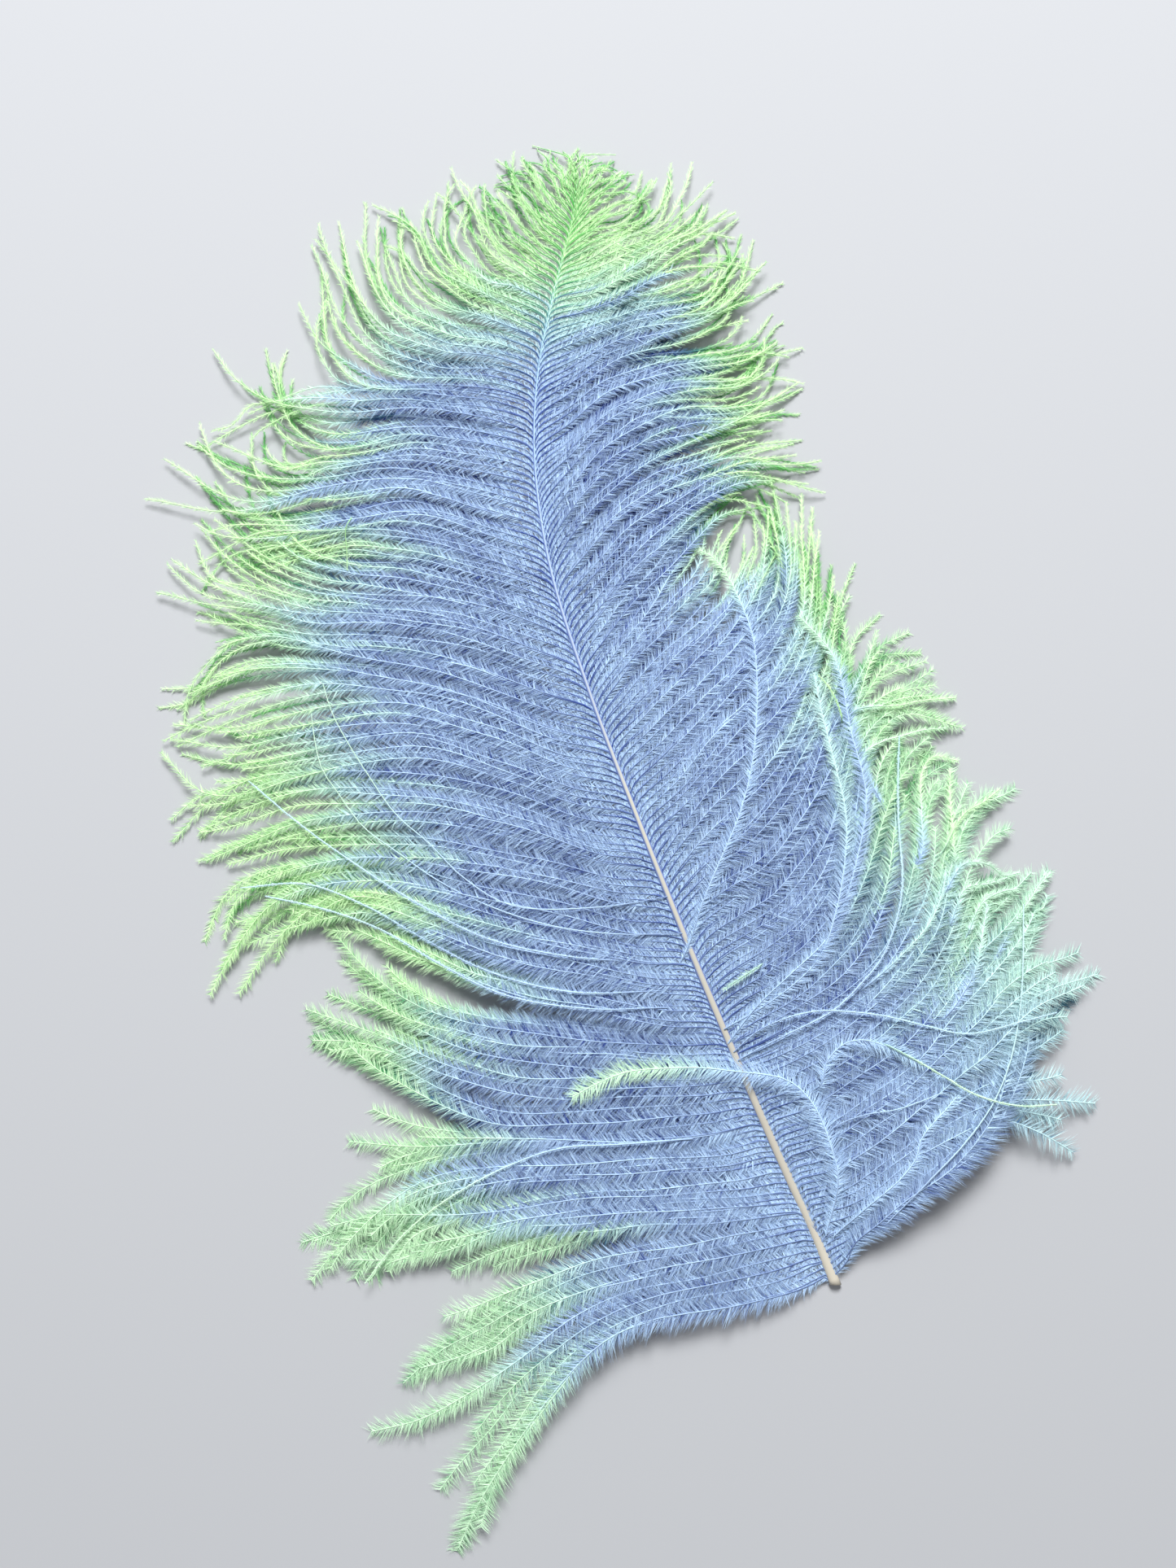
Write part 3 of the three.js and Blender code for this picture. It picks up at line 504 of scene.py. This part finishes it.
def vane(guides, shaft, rng):
    """The barbs of one vane: their paths (barbs, samples, 3), the rows of their roots, and the share by
    which each falls short of its guide."""
    side = guides.side
    rows = [guides.rows[0] + ROOT_VARIES_PX]
    while rows[-1] < guides.rows[-1]:
        rows.append(rows[-1] + look_up(rows[-1], ROOT_STEP_PX))
    rows = np.array(rows[:-1]) + rng.uniform(-ROOT_VARIES_PX, ROOT_VARIES_PX, len(rows) - 1)
    count = len(rows)
    at = np.interp(rows, guides.rows, np.arange(len(guides.rows)))
    low = np.minimum(at.astype(int), len(guides.rows) - 2)
    weight = at - low
    nearest = np.where(weight < 0.5, low, low + 1)
    away = np.where(weight < 0.5, weight, weight - 1) * 2
    leads = np.zeros(count, bool)
    leads[[np.argmin(np.abs(at - i)) for i in range(len(guides.rows))]] = True
    free = np.where(leads, 0, 1)[:, None]

    length = np.where(leads, 1.0, rng.uniform(SHORTEST, LONGEST, count))
    t = np.linspace(0, 1, SAMPLES)[None, :] * length[:, None]
    index = np.arange(count)[:, None]
    upper = sample(guides.curves[low], index, t)
    lower = sample(guides.curves[low + 1], index, t)
    between = upper * (1 - weight[:, None, None]) + lower * weight[:, None, None]
    lock = sample(guides.curves[nearest], index, t)
    heading = unit(np.gradient(lock, axis=1))
    normal = np.stack((-heading[..., 1], heading[..., 0]), -1)
    spread = normal * (side * away * LOCK_SPREAD)[:, None, None] * (1 - LOCK_NARROWS * t[..., None])
    lock = lock - spread * free[..., None]
    gap = smoothstep(*GATHER_GAP, np.linalg.norm(upper - lower, axis=2))
    gather = (GATHER + (MOST_GATHER - GATHER) * gap) * smoothstep(*GATHER_FROM, t)
    gather = np.maximum(np.maximum.accumulate(gather, axis=1), 1 - free)[..., None]
    plan = between * (1 - gather) + lock * gather

    fan, curl = np.clip(rng.normal(0, 1, (2, count, 1)), -MOST_SWEEP, MOST_SWEEP)
    fan = FAN * fan * t ** FAN_LATE
    curl = CURL * curl * np.maximum((t - CURL_FROM) / (1 - CURL_FROM), 0) ** CURL_LATE
    phase = rng.uniform(0, 2 * math.pi, (2, count, 1))
    waves = rng.uniform(*WAVES, (2, count, 1))
    sway = np.sin(2 * math.pi * waves * t + phase) * WOBBLE * smoothstep(*WOBBLE_FROM, t)
    plan = plan + normal * ((fan + curl) * free + sway[0])[..., None]
    pair_rows, pairs = zip(*PAIRS)
    root = shaft.point(np.interp(np.round(look_up(rows, PAIRS)), pairs, pair_rows))
    plan = plan + (root[:, None, :2] - plan[:, :1]) * ((1 - t) ** PAIR_PARTS)[..., None]

    share = np.interp(rows, [r[0] for r in SHAFT[::-1]], np.linspace(1, 0, len(SHAFT)))
    arch = ARCH[side] * (1 - ARCH_LOST_TO_TIP * share)
    layer = rng.choice(LAYERS, count, p=LAYER_SHARES) + rng.uniform(-LAYER_VARIES, LAYER_VARIES, count)
    parted = smoothstep(*LAYER_FROM, t * np.linalg.norm(np.diff(plan, axis=1), axis=2).sum(1, keepdims=True))
    rise = height(t, root[:, 2:3], arch[:, None]) + LAYER_DEPTH * layer[:, None] * parted + sway[1]
    paths = np.concatenate((plan, np.maximum(rise, 2 * FLOOR_GAP)[..., None]), -1)
    return paths, rows, (1 / length - 1)[:, None]


def dye_of(paths, rows, short, side, rng):
    """How far each place of each barb belongs to its thin end, and how much dye it took, from 0 to 1."""
    reach = reaches(paths)
    to_tip = reach[:, -1:] - reach
    uneven = rng.uniform(*DYE_VARIES, (len(paths), 1))
    lime = look_up(rows, LIME_END[side])[:, None] * uneven
    fade = look_up(rows, FADE[side])[:, None] * uneven
    most = look_up(rows, MOST_DYE[side])[:, None]
    tip = smoothstep(*TIP_DYE, paths[..., 1] + rng.normal(0, TIP_DYE_VARIES, (len(paths), 1)))
    end = 1 - smoothstep(lime, lime + fade, to_tip)
    green = 1 - smoothstep(lime, lime + fade, to_tip + DYE_BY_PLACE * short * reach[:, -1:])
    return end ** 2, np.maximum(green * most, tip)


class Tops:
    """The height of the highest barb over each small square of the plan."""

    CELL = 0.0030

    def __init__(self, points):
        points = points.reshape(-1, 3)
        self.low = points[:, :2].min(0) - self.CELL
        self.size = ((points[:, :2].max(0) - self.low) / self.CELL).astype(int) + 2
        self.grid = np.zeros(self.size)
        np.maximum.at(self.grid, self.cells(points), points[:, 2])

    def cells(self, points):
        index = ((points[..., :2] - self.low) / self.CELL).astype(int)
        return tuple(np.clip(index[..., i], 0, self.size[i] - 1) for i in (0, 1))

    def at(self, points):
        return self.grid[self.cells(points)]


def smoothed(values, width):
    """A running mean along the last axis, its ends held."""
    half = width // 2
    first, last = np.repeat(values[..., :1], half, -1), np.repeat(values[..., -1:], half, -1)
    padded = np.concatenate((first, values, last), -1)
    total = np.cumsum(np.concatenate((np.zeros(values.shape[:-1] + (1,)), padded), -1), -1)
    return (total[..., width:] - total[..., :-width]) / width


# Shade runs from 0, deep, to 1, bright. Painted shade: a barb is coloured darker the further it lies below
# the highest one near it, as if the others shaded it, but not close to the shaft. Both are in metres, and the
# depth is a mean over a few samples.
DEEPEST = 0.92
DEEP_FROM = (0.0003, 0.0026)
DEEP_AFTER = (0.004, 0.020)
DEPTH_WINDOW = 5
BARB_VARIES = 0.07


def tone_and_painted_shade(paths, tops, rng):
    """A random tone for each barb, less the painted shade at each place where others lie over it."""
    depth = smoothed(tops.at(paths) - paths[..., 2], DEPTH_WINDOW)
    deep = smoothstep(*DEEP_FROM, depth) * smoothstep(*DEEP_AFTER, reaches(paths))
    return rng.normal(0, BARB_VARIES, (len(paths), 1)) - DEEPEST * deep


# Where a corner's two colour numbers put it in the map, with room there for each triangle
MAP_LOW = 0.01
MAP_SPAN = 0.97
MAP_CORNERS = np.array(((0, 0), (0.008, 0), (0, 0.008)))


class Mesh:
    """Points, triangles and the two numbers that colour them, gathered into one mesh object."""

    def __init__(self):
        self.points, self.faces, self.dye, self.shade = [], [], [], []
        self.count = 0

    def add(self, points, faces, dye, shade):
        self.faces.append(faces + self.count)
        self.count += len(points)
        self.points.append(points)
        self.dye.append(dye)
        self.shade.append(np.clip(shade, 0, 1))

    def build(self, name, material):
        points = np.concatenate(self.points).astype(np.float32)
        faces = np.concatenate(self.faces).astype(np.int32)
        mesh = bpy.data.meshes.new(name)
        mesh.vertices.add(len(points))
        mesh.vertices.foreach_set("co", points.ravel())
        mesh.loops.add(faces.size)
        mesh.loops.foreach_set("vertex_index", faces.ravel())
        mesh.polygons.add(len(faces))
        mesh.polygons.foreach_set("loop_start", np.arange(0, faces.size, 3, dtype=np.int32))
        colours = {"dye": np.concatenate(self.dye), "shade": np.concatenate(self.shade)}
        for key, values in colours.items():
            mesh.attributes.new(key, "FLOAT", "POINT").data.foreach_set("value", values.astype(np.float32))
        corners = np.stack([colours[key][faces.ravel()] for key in ("dye", "shade")], -1)
        corners = MAP_LOW + MAP_SPAN * corners + np.tile(MAP_CORNERS, (len(faces), 1))
        mesh.uv_layers.new(name="OFBake").data.foreach_set("uv", corners.astype(np.float32).ravel())
        mesh.update(calc_edges=True)
        mesh.materials.append(material)
        obj = bpy.data.objects.new(name, mesh)
        bpy.context.scene.collection.objects.link(obj)
        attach(obj, "root")
        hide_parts("feather")


# Barb stems: the turn of their section, their radius at the root and the tip, how much wider they are by
# root row, and their shade by metres from the root, with the least of it by root row
STEM_SIDES = 3
STEM_TURN = 0.25
STEM_RADIUS = (0.00019, 0.00013)
STEM_WIDER = ((1150, 1.0), (1450, 1.3))
STEM_SHADE = ((0.0, 0.10), (0.010, 0.18), (0.022, 0.50), (0.045, 0.88), (0.100, 1.0))
LEAST_SHADE = ((1000, 0.10), (1500, 0.34))


def add_stems(mesh, paths, dye, rows, tone):
    """A tapering three-sided stem along each barb."""
    count, samples = paths.shape[:2]
    tangent = unit(np.gradient(paths, axis=1))
    right = unit(np.cross(tangent, (0, 0, 1)))
    up = np.cross(right, tangent)
    t = np.linspace(0, 1, samples)
    radius = (STEM_RADIUS[0] + (STEM_RADIUS[1] - STEM_RADIUS[0]) * t) * look_up(rows, STEM_WIDER)[:, None]
    radius = radius[..., None]
    turns = 2 * math.pi * (np.arange(STEM_SIDES) + STEM_TURN) / STEM_SIDES
    rings = [paths + radius * (right * math.cos(a) + up * math.sin(a)) for a in turns]
    points = np.stack(rings, 2).reshape(-1, 3)
    barb, k, side = np.indices((count, samples - 1, STEM_SIDES))
    a = (barb * samples + k) * STEM_SIDES + side
    b = (barb * samples + k) * STEM_SIDES + (side + 1) % STEM_SIDES
    faces = np.stack((a, b, b + STEM_SIDES, a, b + STEM_SIDES, a + STEM_SIDES), -1).reshape(-1, 3)
    # The tone added here carries painted shade where other barbs lie over this one
    shade = np.maximum(look_up(reaches(paths), STEM_SHADE), look_up(rows, LEAST_SHADE)[:, None]) + tone
    mesh.add(points, faces, np.repeat(dye.ravel(), STEM_SIDES), np.repeat(shade.ravel(), STEM_SIDES))


# Barbules: angles in degrees and lengths in metres. LEAN, RISE and GROWN, the share of its length that a
# barbule has, go by metres from the barb's root, and near the barb's tip some of the length is lost. SHARES
# say how much a whole tuft varies and how much each of its barbules does.
TUFT = 3
GATHERED = 0.5
PLACE_VARIES = (0.2, 0.8)
BARBULE_WIDTH = 0.00021
TWIST_VARIES = 0.5
LEAN = ((0.0, 28), (0.006, 37), (0.030, 40))
LEAN_VARIES = 10
LEAN_SHARES = (0.8, 0.7)
RISE = ((0.0, -22), (0.012, -10), (0.030, -2))
RISE_VARIES = 9
RISE_SHARES = (0.8, 0.5)
GROWN = ((0.0, 0.36), (0.004, 0.52), (0.010, 0.64), (0.018, 0.87), (0.030, 1.0))
FULL_LENGTH = 0.085
LAST_REACH = 0.006
LAST_LOST = 0.4
SIZE_SHARES = (0.16, 0.14)
SIZE_LIMITS = (0.5, 1.4)

# Shade of the barbules: by metres from the barb's root, paler by root row and with the dye, how it varies
# with the tuft and in it, and the change from the base of a barbule to its tip
BARBULE_SHADE = ((0.0, 0.96), (0.012, 0.84), (0.030, 0.59))
PALER = ((1300, 0.0), (1450, 0.08), (1560, 0.12))
LIME_SHADE = 0.28
TUFT_VARIES = 0.22
OWN_SHARE = 0.4
SHADE_ALONG = (-0.16, -0.16, 0.14)


def add_barbules(mesh, paths, end_of, dye, rows, side_of_vane, tone, triangles, rng, full=1.0):
    """Barbules in tufts on both sides of each barb, a triangle each, as many as the triangles allow.

    A barb shorter than FULL_LENGTH goes through the same stages sooner. The length of its barbules is
    multiplied by full, one number for all barbs or one for each."""
    reach = reaches(paths)
    lengths = reach[:, -1]
    tufts = np.maximum((lengths / lengths.sum() * triangles / (2 * TUFT)).astype(int), 2)
    counts = tufts * TUFT
    barb = np.repeat(np.arange(len(paths)), counts)
    first = np.concatenate(([0], np.cumsum(counts)[:-1]))
    order = np.arange(counts.sum()) - first[barb]
    tangents = unit(np.gradient(paths, axis=1))
    long = (look_up(rows, BARBULE_LENGTH) * full)[barb]
    left = look_up(rows, END_SHARE[side_of_vane])[barb]
    end_lean = look_up(rows, END_LEAN)[barb]
    wider = look_up(rows, WIDER)[barb]
    stretch = np.maximum(FULL_LENGTH / lengths, 1)[barb]
    paler = look_up(rows, PALER)[barb]
    for side in (LEFT, RIGHT):
        share = (order + rng.uniform(*PLACE_VARIES, len(order))) / counts[barb]
        tuft = np.repeat(rng.normal(0, 1, (4, len(order) // TUFT)), TUFT, axis=1)
        own = rng.normal(0, 1, (3, len(order)))
        base = sample(paths, barb, share)
        along = unit(sample(tangents, barb, share))
        out = unit(np.cross(along, (0, 0, 1))) * side
        away = sample(reach, barb, share)
        near = away * stretch
        thin = sample(end_of, barb, share)
        green = sample(dye, barb, share)
        lean = look_up(near, LEAN) * wider * (1 - thin) + end_lean * thin
        lean_varies = LEAN_SHARES[0] * tuft[0] + LEAN_SHARES[1] * own[0]
        lean = np.radians(lean + LEAN_VARIES * wider * lean_varies)[:, None]
        rise_varies = RISE_SHARES[0] * tuft[1] + RISE_SHARES[1] * own[1]
        rise = np.radians(look_up(near, RISE) + RISE_VARIES * rise_varies)[:, None]
        sideways = out * np.cos(rise) + np.array((0, 0, 1)) * np.sin(rise)
        size = long * look_up(near, GROWN) * (1 - (1 - left) * thin)
        size = size * (1 - LAST_LOST * smoothstep(LAST_REACH, 0.0, lengths[barb] - away))
        size = size * np.clip(1 + SIZE_SHARES[0] * tuft[3] + SIZE_SHARES[1] * own[2], *SIZE_LIMITS)
        tip = base + (along * np.cos(lean) + sideways * np.sin(lean)) * size[:, None]
        groups = tip.reshape(-1, TUFT, 3)
        tip = (groups + (groups.mean(1, keepdims=True) - groups) * GATHERED).reshape(-1, 3)
        twist = rng.normal(0, TWIST_VARIES, (len(order), 1))
        half = unit(along + np.array((0, 0, 1)) * twist) * BARBULE_WIDTH / 2
        points = np.stack((base - half, base + half, tip), 1)
        points[..., 2] = np.maximum(points[..., 2], FLOOR_GAP)
        # The sampled tone carries painted shade where other barbs lie over this one
        shade = look_up(away, BARBULE_SHADE) + paler + LIME_SHADE * green + sample(tone, barb, share)
        shade = (shade + TUFT_VARIES * (tuft[2] + OWN_SHARE * own[0]))[:, None] + np.array(SHADE_ALONG)
        faces = np.arange(3 * len(order)).reshape(-1, 3)
        mesh.add(points.reshape(-1, 3), faces, np.repeat(green, 3), shade.ravel())


# Materials
def linear(red, green, blue):
    """A colour of the picture, 0 to 255, as linear light."""
    channels = [c / 255 for c in (red, green, blue)]
    return [c / 12.92 if c <= 0.04045 else ((c + 0.055) / 1.055) ** 2.4 for c in channels] + [1]


def new_material(name):
    material = bpy.data.materials.new(name)
    material.use_nodes = True
    return material, material.node_tree.nodes, material.node_tree.links


def ramp(nodes, stops):
    node = nodes.new("ShaderNodeValToRGB")
    elements = node.color_ramp.elements
    while len(elements) < len(stops):
        elements.new(0.5)
    for element, (place_on, colour) in zip(elements, stops):
        element.position = place_on
        element.color = linear(*colour)
    return node


def barb_material():
    """Down, from lavender blue through mint to lime by its dye, and from deep to bright by its shade, which
    holds its own tone and painted shade where barbs lie under others.
    """
    material, nodes, links = new_material("barbs")
    shader = nodes["Principled BSDF"]
    dye = nodes.new("ShaderNodeAttribute")
    dye.attribute_name = "dye"
    shade = nodes.new("ShaderNodeAttribute")
    shade.attribute_name = "shade"
    deep = ramp(nodes, ((0.0, (30, 56, 138)), (0.45, (60, 112, 138)), (1.0, (92, 180, 92))))
    bright = ramp(nodes, ((0.0, (197, 226, 255)), (0.45, (214, 248, 244)), (1.0, (222, 255, 200))))
    links.new(dye.outputs["Fac"], deep.inputs["Fac"])
    links.new(dye.outputs["Fac"], bright.inputs["Fac"])
    mix = nodes.new("ShaderNodeMix")
    mix.data_type = "RGBA"
    links.new(shade.outputs["Fac"], mix.inputs["Factor"])
    links.new(deep.outputs["Color"], mix.inputs["A"])
    links.new(bright.outputs["Color"], mix.inputs["B"])
    links.new(mix.outputs["Result"], shader.inputs["Base Color"])
    shader.inputs["Roughness"].default_value = 0.7
    shader.inputs["Specular IOR Level"].default_value = 0.2
    return material


# The shaft's section, deep as a share of its width, and the slant of its cut end
SHAFT_SIDES = 24
SHAFT_DEPTH = 0.85
CUT_SLANT = 0.4

# Share of the shaft's width that its pale ridge takes, from the quill to the tip
RIDGE = ((0.0, 0.85), (0.09, 0.80), (0.17, 0.74), (0.30, 0.50), (0.42, 0.42), (0.53, 0.26), (1.0, 0.22))
RIDGE_EDGE = 0.22


def shaft_material():
    """Cream along the ridge near the quill, blue grey and then green further on, lavender on the sides."""
    material, nodes, links = new_material("shaft")
    shader = nodes["Principled BSDF"]
    along = nodes.new("ShaderNodeAttribute")
    along.attribute_name = "along"
    side = nodes.new("ShaderNodeAttribute")
    side.attribute_name = "side"
    ridge = ramp(nodes, ((0.0, (202, 195, 179)), (0.15, (190, 184, 170)), (0.45, (198, 196, 184)),
                         (0.6, (176, 192, 214)), (0.85, (160, 196, 214)), (1.0, (160, 226, 160))))
    flank = ramp(nodes, ((0.0, (188, 182, 176)), (0.12, (126, 142, 192)), (0.8, (116, 138, 192)),
                         (0.9, (120, 180, 170)), (1.0, (130, 205, 120))))
    for node in (ridge, flank):
        links.new(along.outputs["Fac"], node.inputs["Fac"])
    mix = nodes.new("ShaderNodeMix")
    mix.data_type = "RGBA"
    links.new(side.outputs["Fac"], mix.inputs["Factor"])
    links.new(ridge.outputs["Color"], mix.inputs["A"])
    links.new(flank.outputs["Color"], mix.inputs["B"])
    links.new(mix.outputs["Result"], shader.inputs["Base Color"])
    shader.inputs["Roughness"].default_value = 0.42
    return material


def build_shaft(shaft, material):
    """The tapering shaft, cut at a slant at the quill."""
    centre = shaft.points[::SHAFT_STRIDE]
    half = shaft.half[::SHAFT_STRIDE]
    tangent = unit(np.gradient(centre, axis=0))
    right = unit(np.cross(tangent, (0, 0, 1)))
    up = np.cross(right, tangent)
    turns = 2 * math.pi * (np.arange(SHAFT_SIDES) + 0.5) / SHAFT_SIDES
    rings = [centre + half[:, None] * (right * math.cos(a) + up * SHAFT_DEPTH * math.sin(a)) for a in turns]
    points = np.stack(rings, 1)
    points[0] -= tangent[0] * (half[0] * CUT_SLANT * np.cos(turns))[:, None]
    points = points.reshape(-1, 3)
    points[:, 2] = np.maximum(points[:, 2], 0)
    faces = []
    for k in range(len(centre) - 1):
        for i in range(SHAFT_SIDES):
            a, b = k * SHAFT_SIDES + i, k * SHAFT_SIDES + (i + 1) % SHAFT_SIDES
            faces.append((a, b, b + SHAFT_SIDES, a + SHAFT_SIDES))
    faces.append(tuple(reversed(range(SHAFT_SIDES))))
    last = (len(centre) - 1) * SHAFT_SIDES
    faces.append(tuple(range(last, last + SHAFT_SIDES)))
    mesh = bpy.data.meshes.new("shaft")
    mesh.from_pydata(points.tolist(), [], faces)
    along = np.repeat(np.linspace(0, 1, len(centre)), SHAFT_SIDES)
    ridge = look_up(along, RIDGE)
    side = smoothstep(ridge, ridge + RIDGE_EDGE, np.tile(np.abs(np.cos(turns)), len(centre)))
    for key, values in (("along", along), ("side", side)):
        mesh.attributes.new(key, "FLOAT", "POINT").data.foreach_set("value", values.astype(np.float32))
    mesh.materials.append(material)
    for polygon in mesh.polygons:
        polygon.use_smooth = len(polygon.vertices) == 4
    obj = bpy.data.objects.new("shaft", mesh)
    bpy.context.scene.collection.objects.link(obj)
    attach(obj, "root")
    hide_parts("feather")


def build_vane(name, side, paths, rows, short, tops, material, rng):
    """One vane, as a few meshes from the tip of the feather down."""
    end_of, dye = dye_of(paths, rows, short, side, rng)
    # The tone holds each barb's random tone and the painted shade of barbs buried under others
    tone = tone_and_painted_shade(paths, tops, rng)
    stems = len(paths) * (SAMPLES - 1) * STEM_SIDES * 2
    reach = np.cumsum(reaches(paths)[:, -1])
    piece = np.minimum((reach / reach[-1] * len(PIECES)).astype(int), len(PIECES) - 1)
    budget = (SIDE_TRIANGLES - stems) / len(PIECES)
    for i, stretch in enumerate(PIECES):
        own = piece == i
        mesh = Mesh()
        add_stems(mesh, paths[own], dye[own], rows[own], tone[own])
        add_barbules(mesh, paths[own], end_of[own], dye[own], rows[own], side, tone[own], budget, rng)
        mesh.build(f"barbs_{name}_{stretch}", material)


# Strays: the triangles of each, the least height of a root, the share of its height kept from sample to
# sample over the open floor, the samples it is smoothed over, the share of the barb in which it rises over
# the others, its fade beside its dyed end, its tone, and how much of their length a bare one's barbules lack
STRAY_TRIANGLES = 1400
STRAY_LEAST = 0.0015
STRAY_KEPT = 0.95
STRAY_WINDOW = 9
STRAY_LIFTED = (0, 0.15)
STRAY_FADE = 2.5
STRAY_TONE = 0.34
BARE_LOST = 0.92


def build_strays(tops, material, rng):
    """The single barbs, each laid over what is below it, its free end sinking a little."""
    paths, rows, ends, dye, full = [], [], [], [], []
    for lift, bare, most, lime, points in STRAYS:
        full.append(1 - BARE_LOST * bare)
        plan = curve_through(place(points), SAMPLES)
        under = tops.at(plan)
        under[0] = max(under[0], STRAY_LEAST)
        for i in range(1, SAMPLES):
            if under[i] == 0:
                under[i] = under[i - 1] * STRAY_KEPT
        t = np.linspace(0, 1, SAMPLES)
        rise = smoothed(under, STRAY_WINDOW) + lift / MM_PER_M * smoothstep(*STRAY_LIFTED, t)
        paths.append(np.column_stack((plan, rise)))
        rows.append(points[0][1])
        to_tip = (1 - t) * reaches(paths[-1][None])[0, -1]
        ends.append(1 - smoothstep(lime, STRAY_FADE * lime, to_tip))
        dye.append(most * ends[-1])
    paths, rows, ends, dye, full = (np.array(values, float) for values in (paths, rows, ends, dye, full))
    tone = np.full(dye.shape, STRAY_TONE)
    mesh = Mesh()
    add_stems(mesh, paths, dye, rows, tone)
    add_barbules(mesh, paths, ends, dye, rows, LEFT, tone, STRAY_TRIANGLES * len(paths), rng, full)
    mesh.build("barbs_stray", material)


def build_stage():
    """A plain pale floor under a pale sky."""
    mesh = bpy.data.meshes.new("floor")
    corners = ((-1, -1), (1, -1), (1, 1), (-1, 1))
    mesh.from_pydata([(x * FLOOR_HALF, y * FLOOR_HALF, 0) for x, y in corners], [], [(0, 1, 2, 3)])
    floor = bpy.data.objects.new("floor", mesh)
    material, nodes, _ = new_material("floor")
    nodes["Principled BSDF"].inputs["Base Color"].default_value = FLOOR_COLOUR
    nodes["Principled BSDF"].inputs["Roughness"].default_value = FLOOR_ROUGHNESS
    mesh.materials.append(material)
    bpy.context.scene.collection.objects.link(floor)

    world = bpy.data.worlds.new("studio")
    world.use_nodes = True
    world.node_tree.nodes["Background"].inputs["Color"].default_value = SKY_COLOUR
    world.node_tree.nodes["Background"].inputs["Strength"].default_value = SKY_STRENGTH
    bpy.context.scene.world = world


def build_lamp(middle, picture_up):
    """One soft lamp above the top of the picture, turned to its middle."""
    light = bpy.data.lights.new("key", "AREA")
    light.size = LAMP_SIZE
    light.energy = LAMP_WATTS
    obj = bpy.data.objects.new("key", light)
    obj.location = (*(middle + picture_up * LAMP_REACH), LAMP_HEIGHT)
    obj.rotation_euler = (Vector((*middle, 0)) - obj.location).to_track_quat("-Z", "Y").to_euler()
    bpy.context.scene.collection.objects.link(obj)


def build_camera():
    """Straight down on the middle of the picture, with its top upwards. Returns both as plan vectors."""
    middle = place((PICTURE_PX[0] / 2, PICTURE_PX[1] / 2))
    upwards = place((QUILL_PX[0], QUILL_PX[1] - 1)) - place(QUILL_PX)
    camera = bpy.data.cameras.new("camera")
    camera.lens = LENS_MM
    camera.sensor_width = SENSOR_MM
    obj = bpy.data.objects.new("camera", camera)
    obj.location = (middle[0], middle[1], CAMERA_HEIGHT)
    obj.rotation_euler = (0, 0, -math.atan2(upwards[0], upwards[1]))
    bpy.context.scene.collection.objects.link(obj)
    bpy.context.scene.camera = obj
    return middle, unit(upwards)


rng = np.random.default_rng(SEED)
middle, picture_up = build_camera()
build_stage()
build_lamp(middle, picture_up)

shaft_line = Shaft(SHAFT)
barbs = barb_material()
build_shaft(shaft_line, shaft_material())
vanes = {side: vane(Guides(guides, side, shaft_line), shaft_line, rng)
         for side, guides in ((LEFT, LEFT_GUIDES), (RIGHT, RIGHT_GUIDES))}
tops = Tops(np.concatenate([paths for paths, rows, short in vanes.values()]))
for name, side in (("left", LEFT), ("right", RIGHT)):
    build_vane(name, side, *vanes[side], tops, barbs, rng)
build_strays(tops, barbs, rng)

bpy.context.scene.view_settings.view_transform = "Standard"
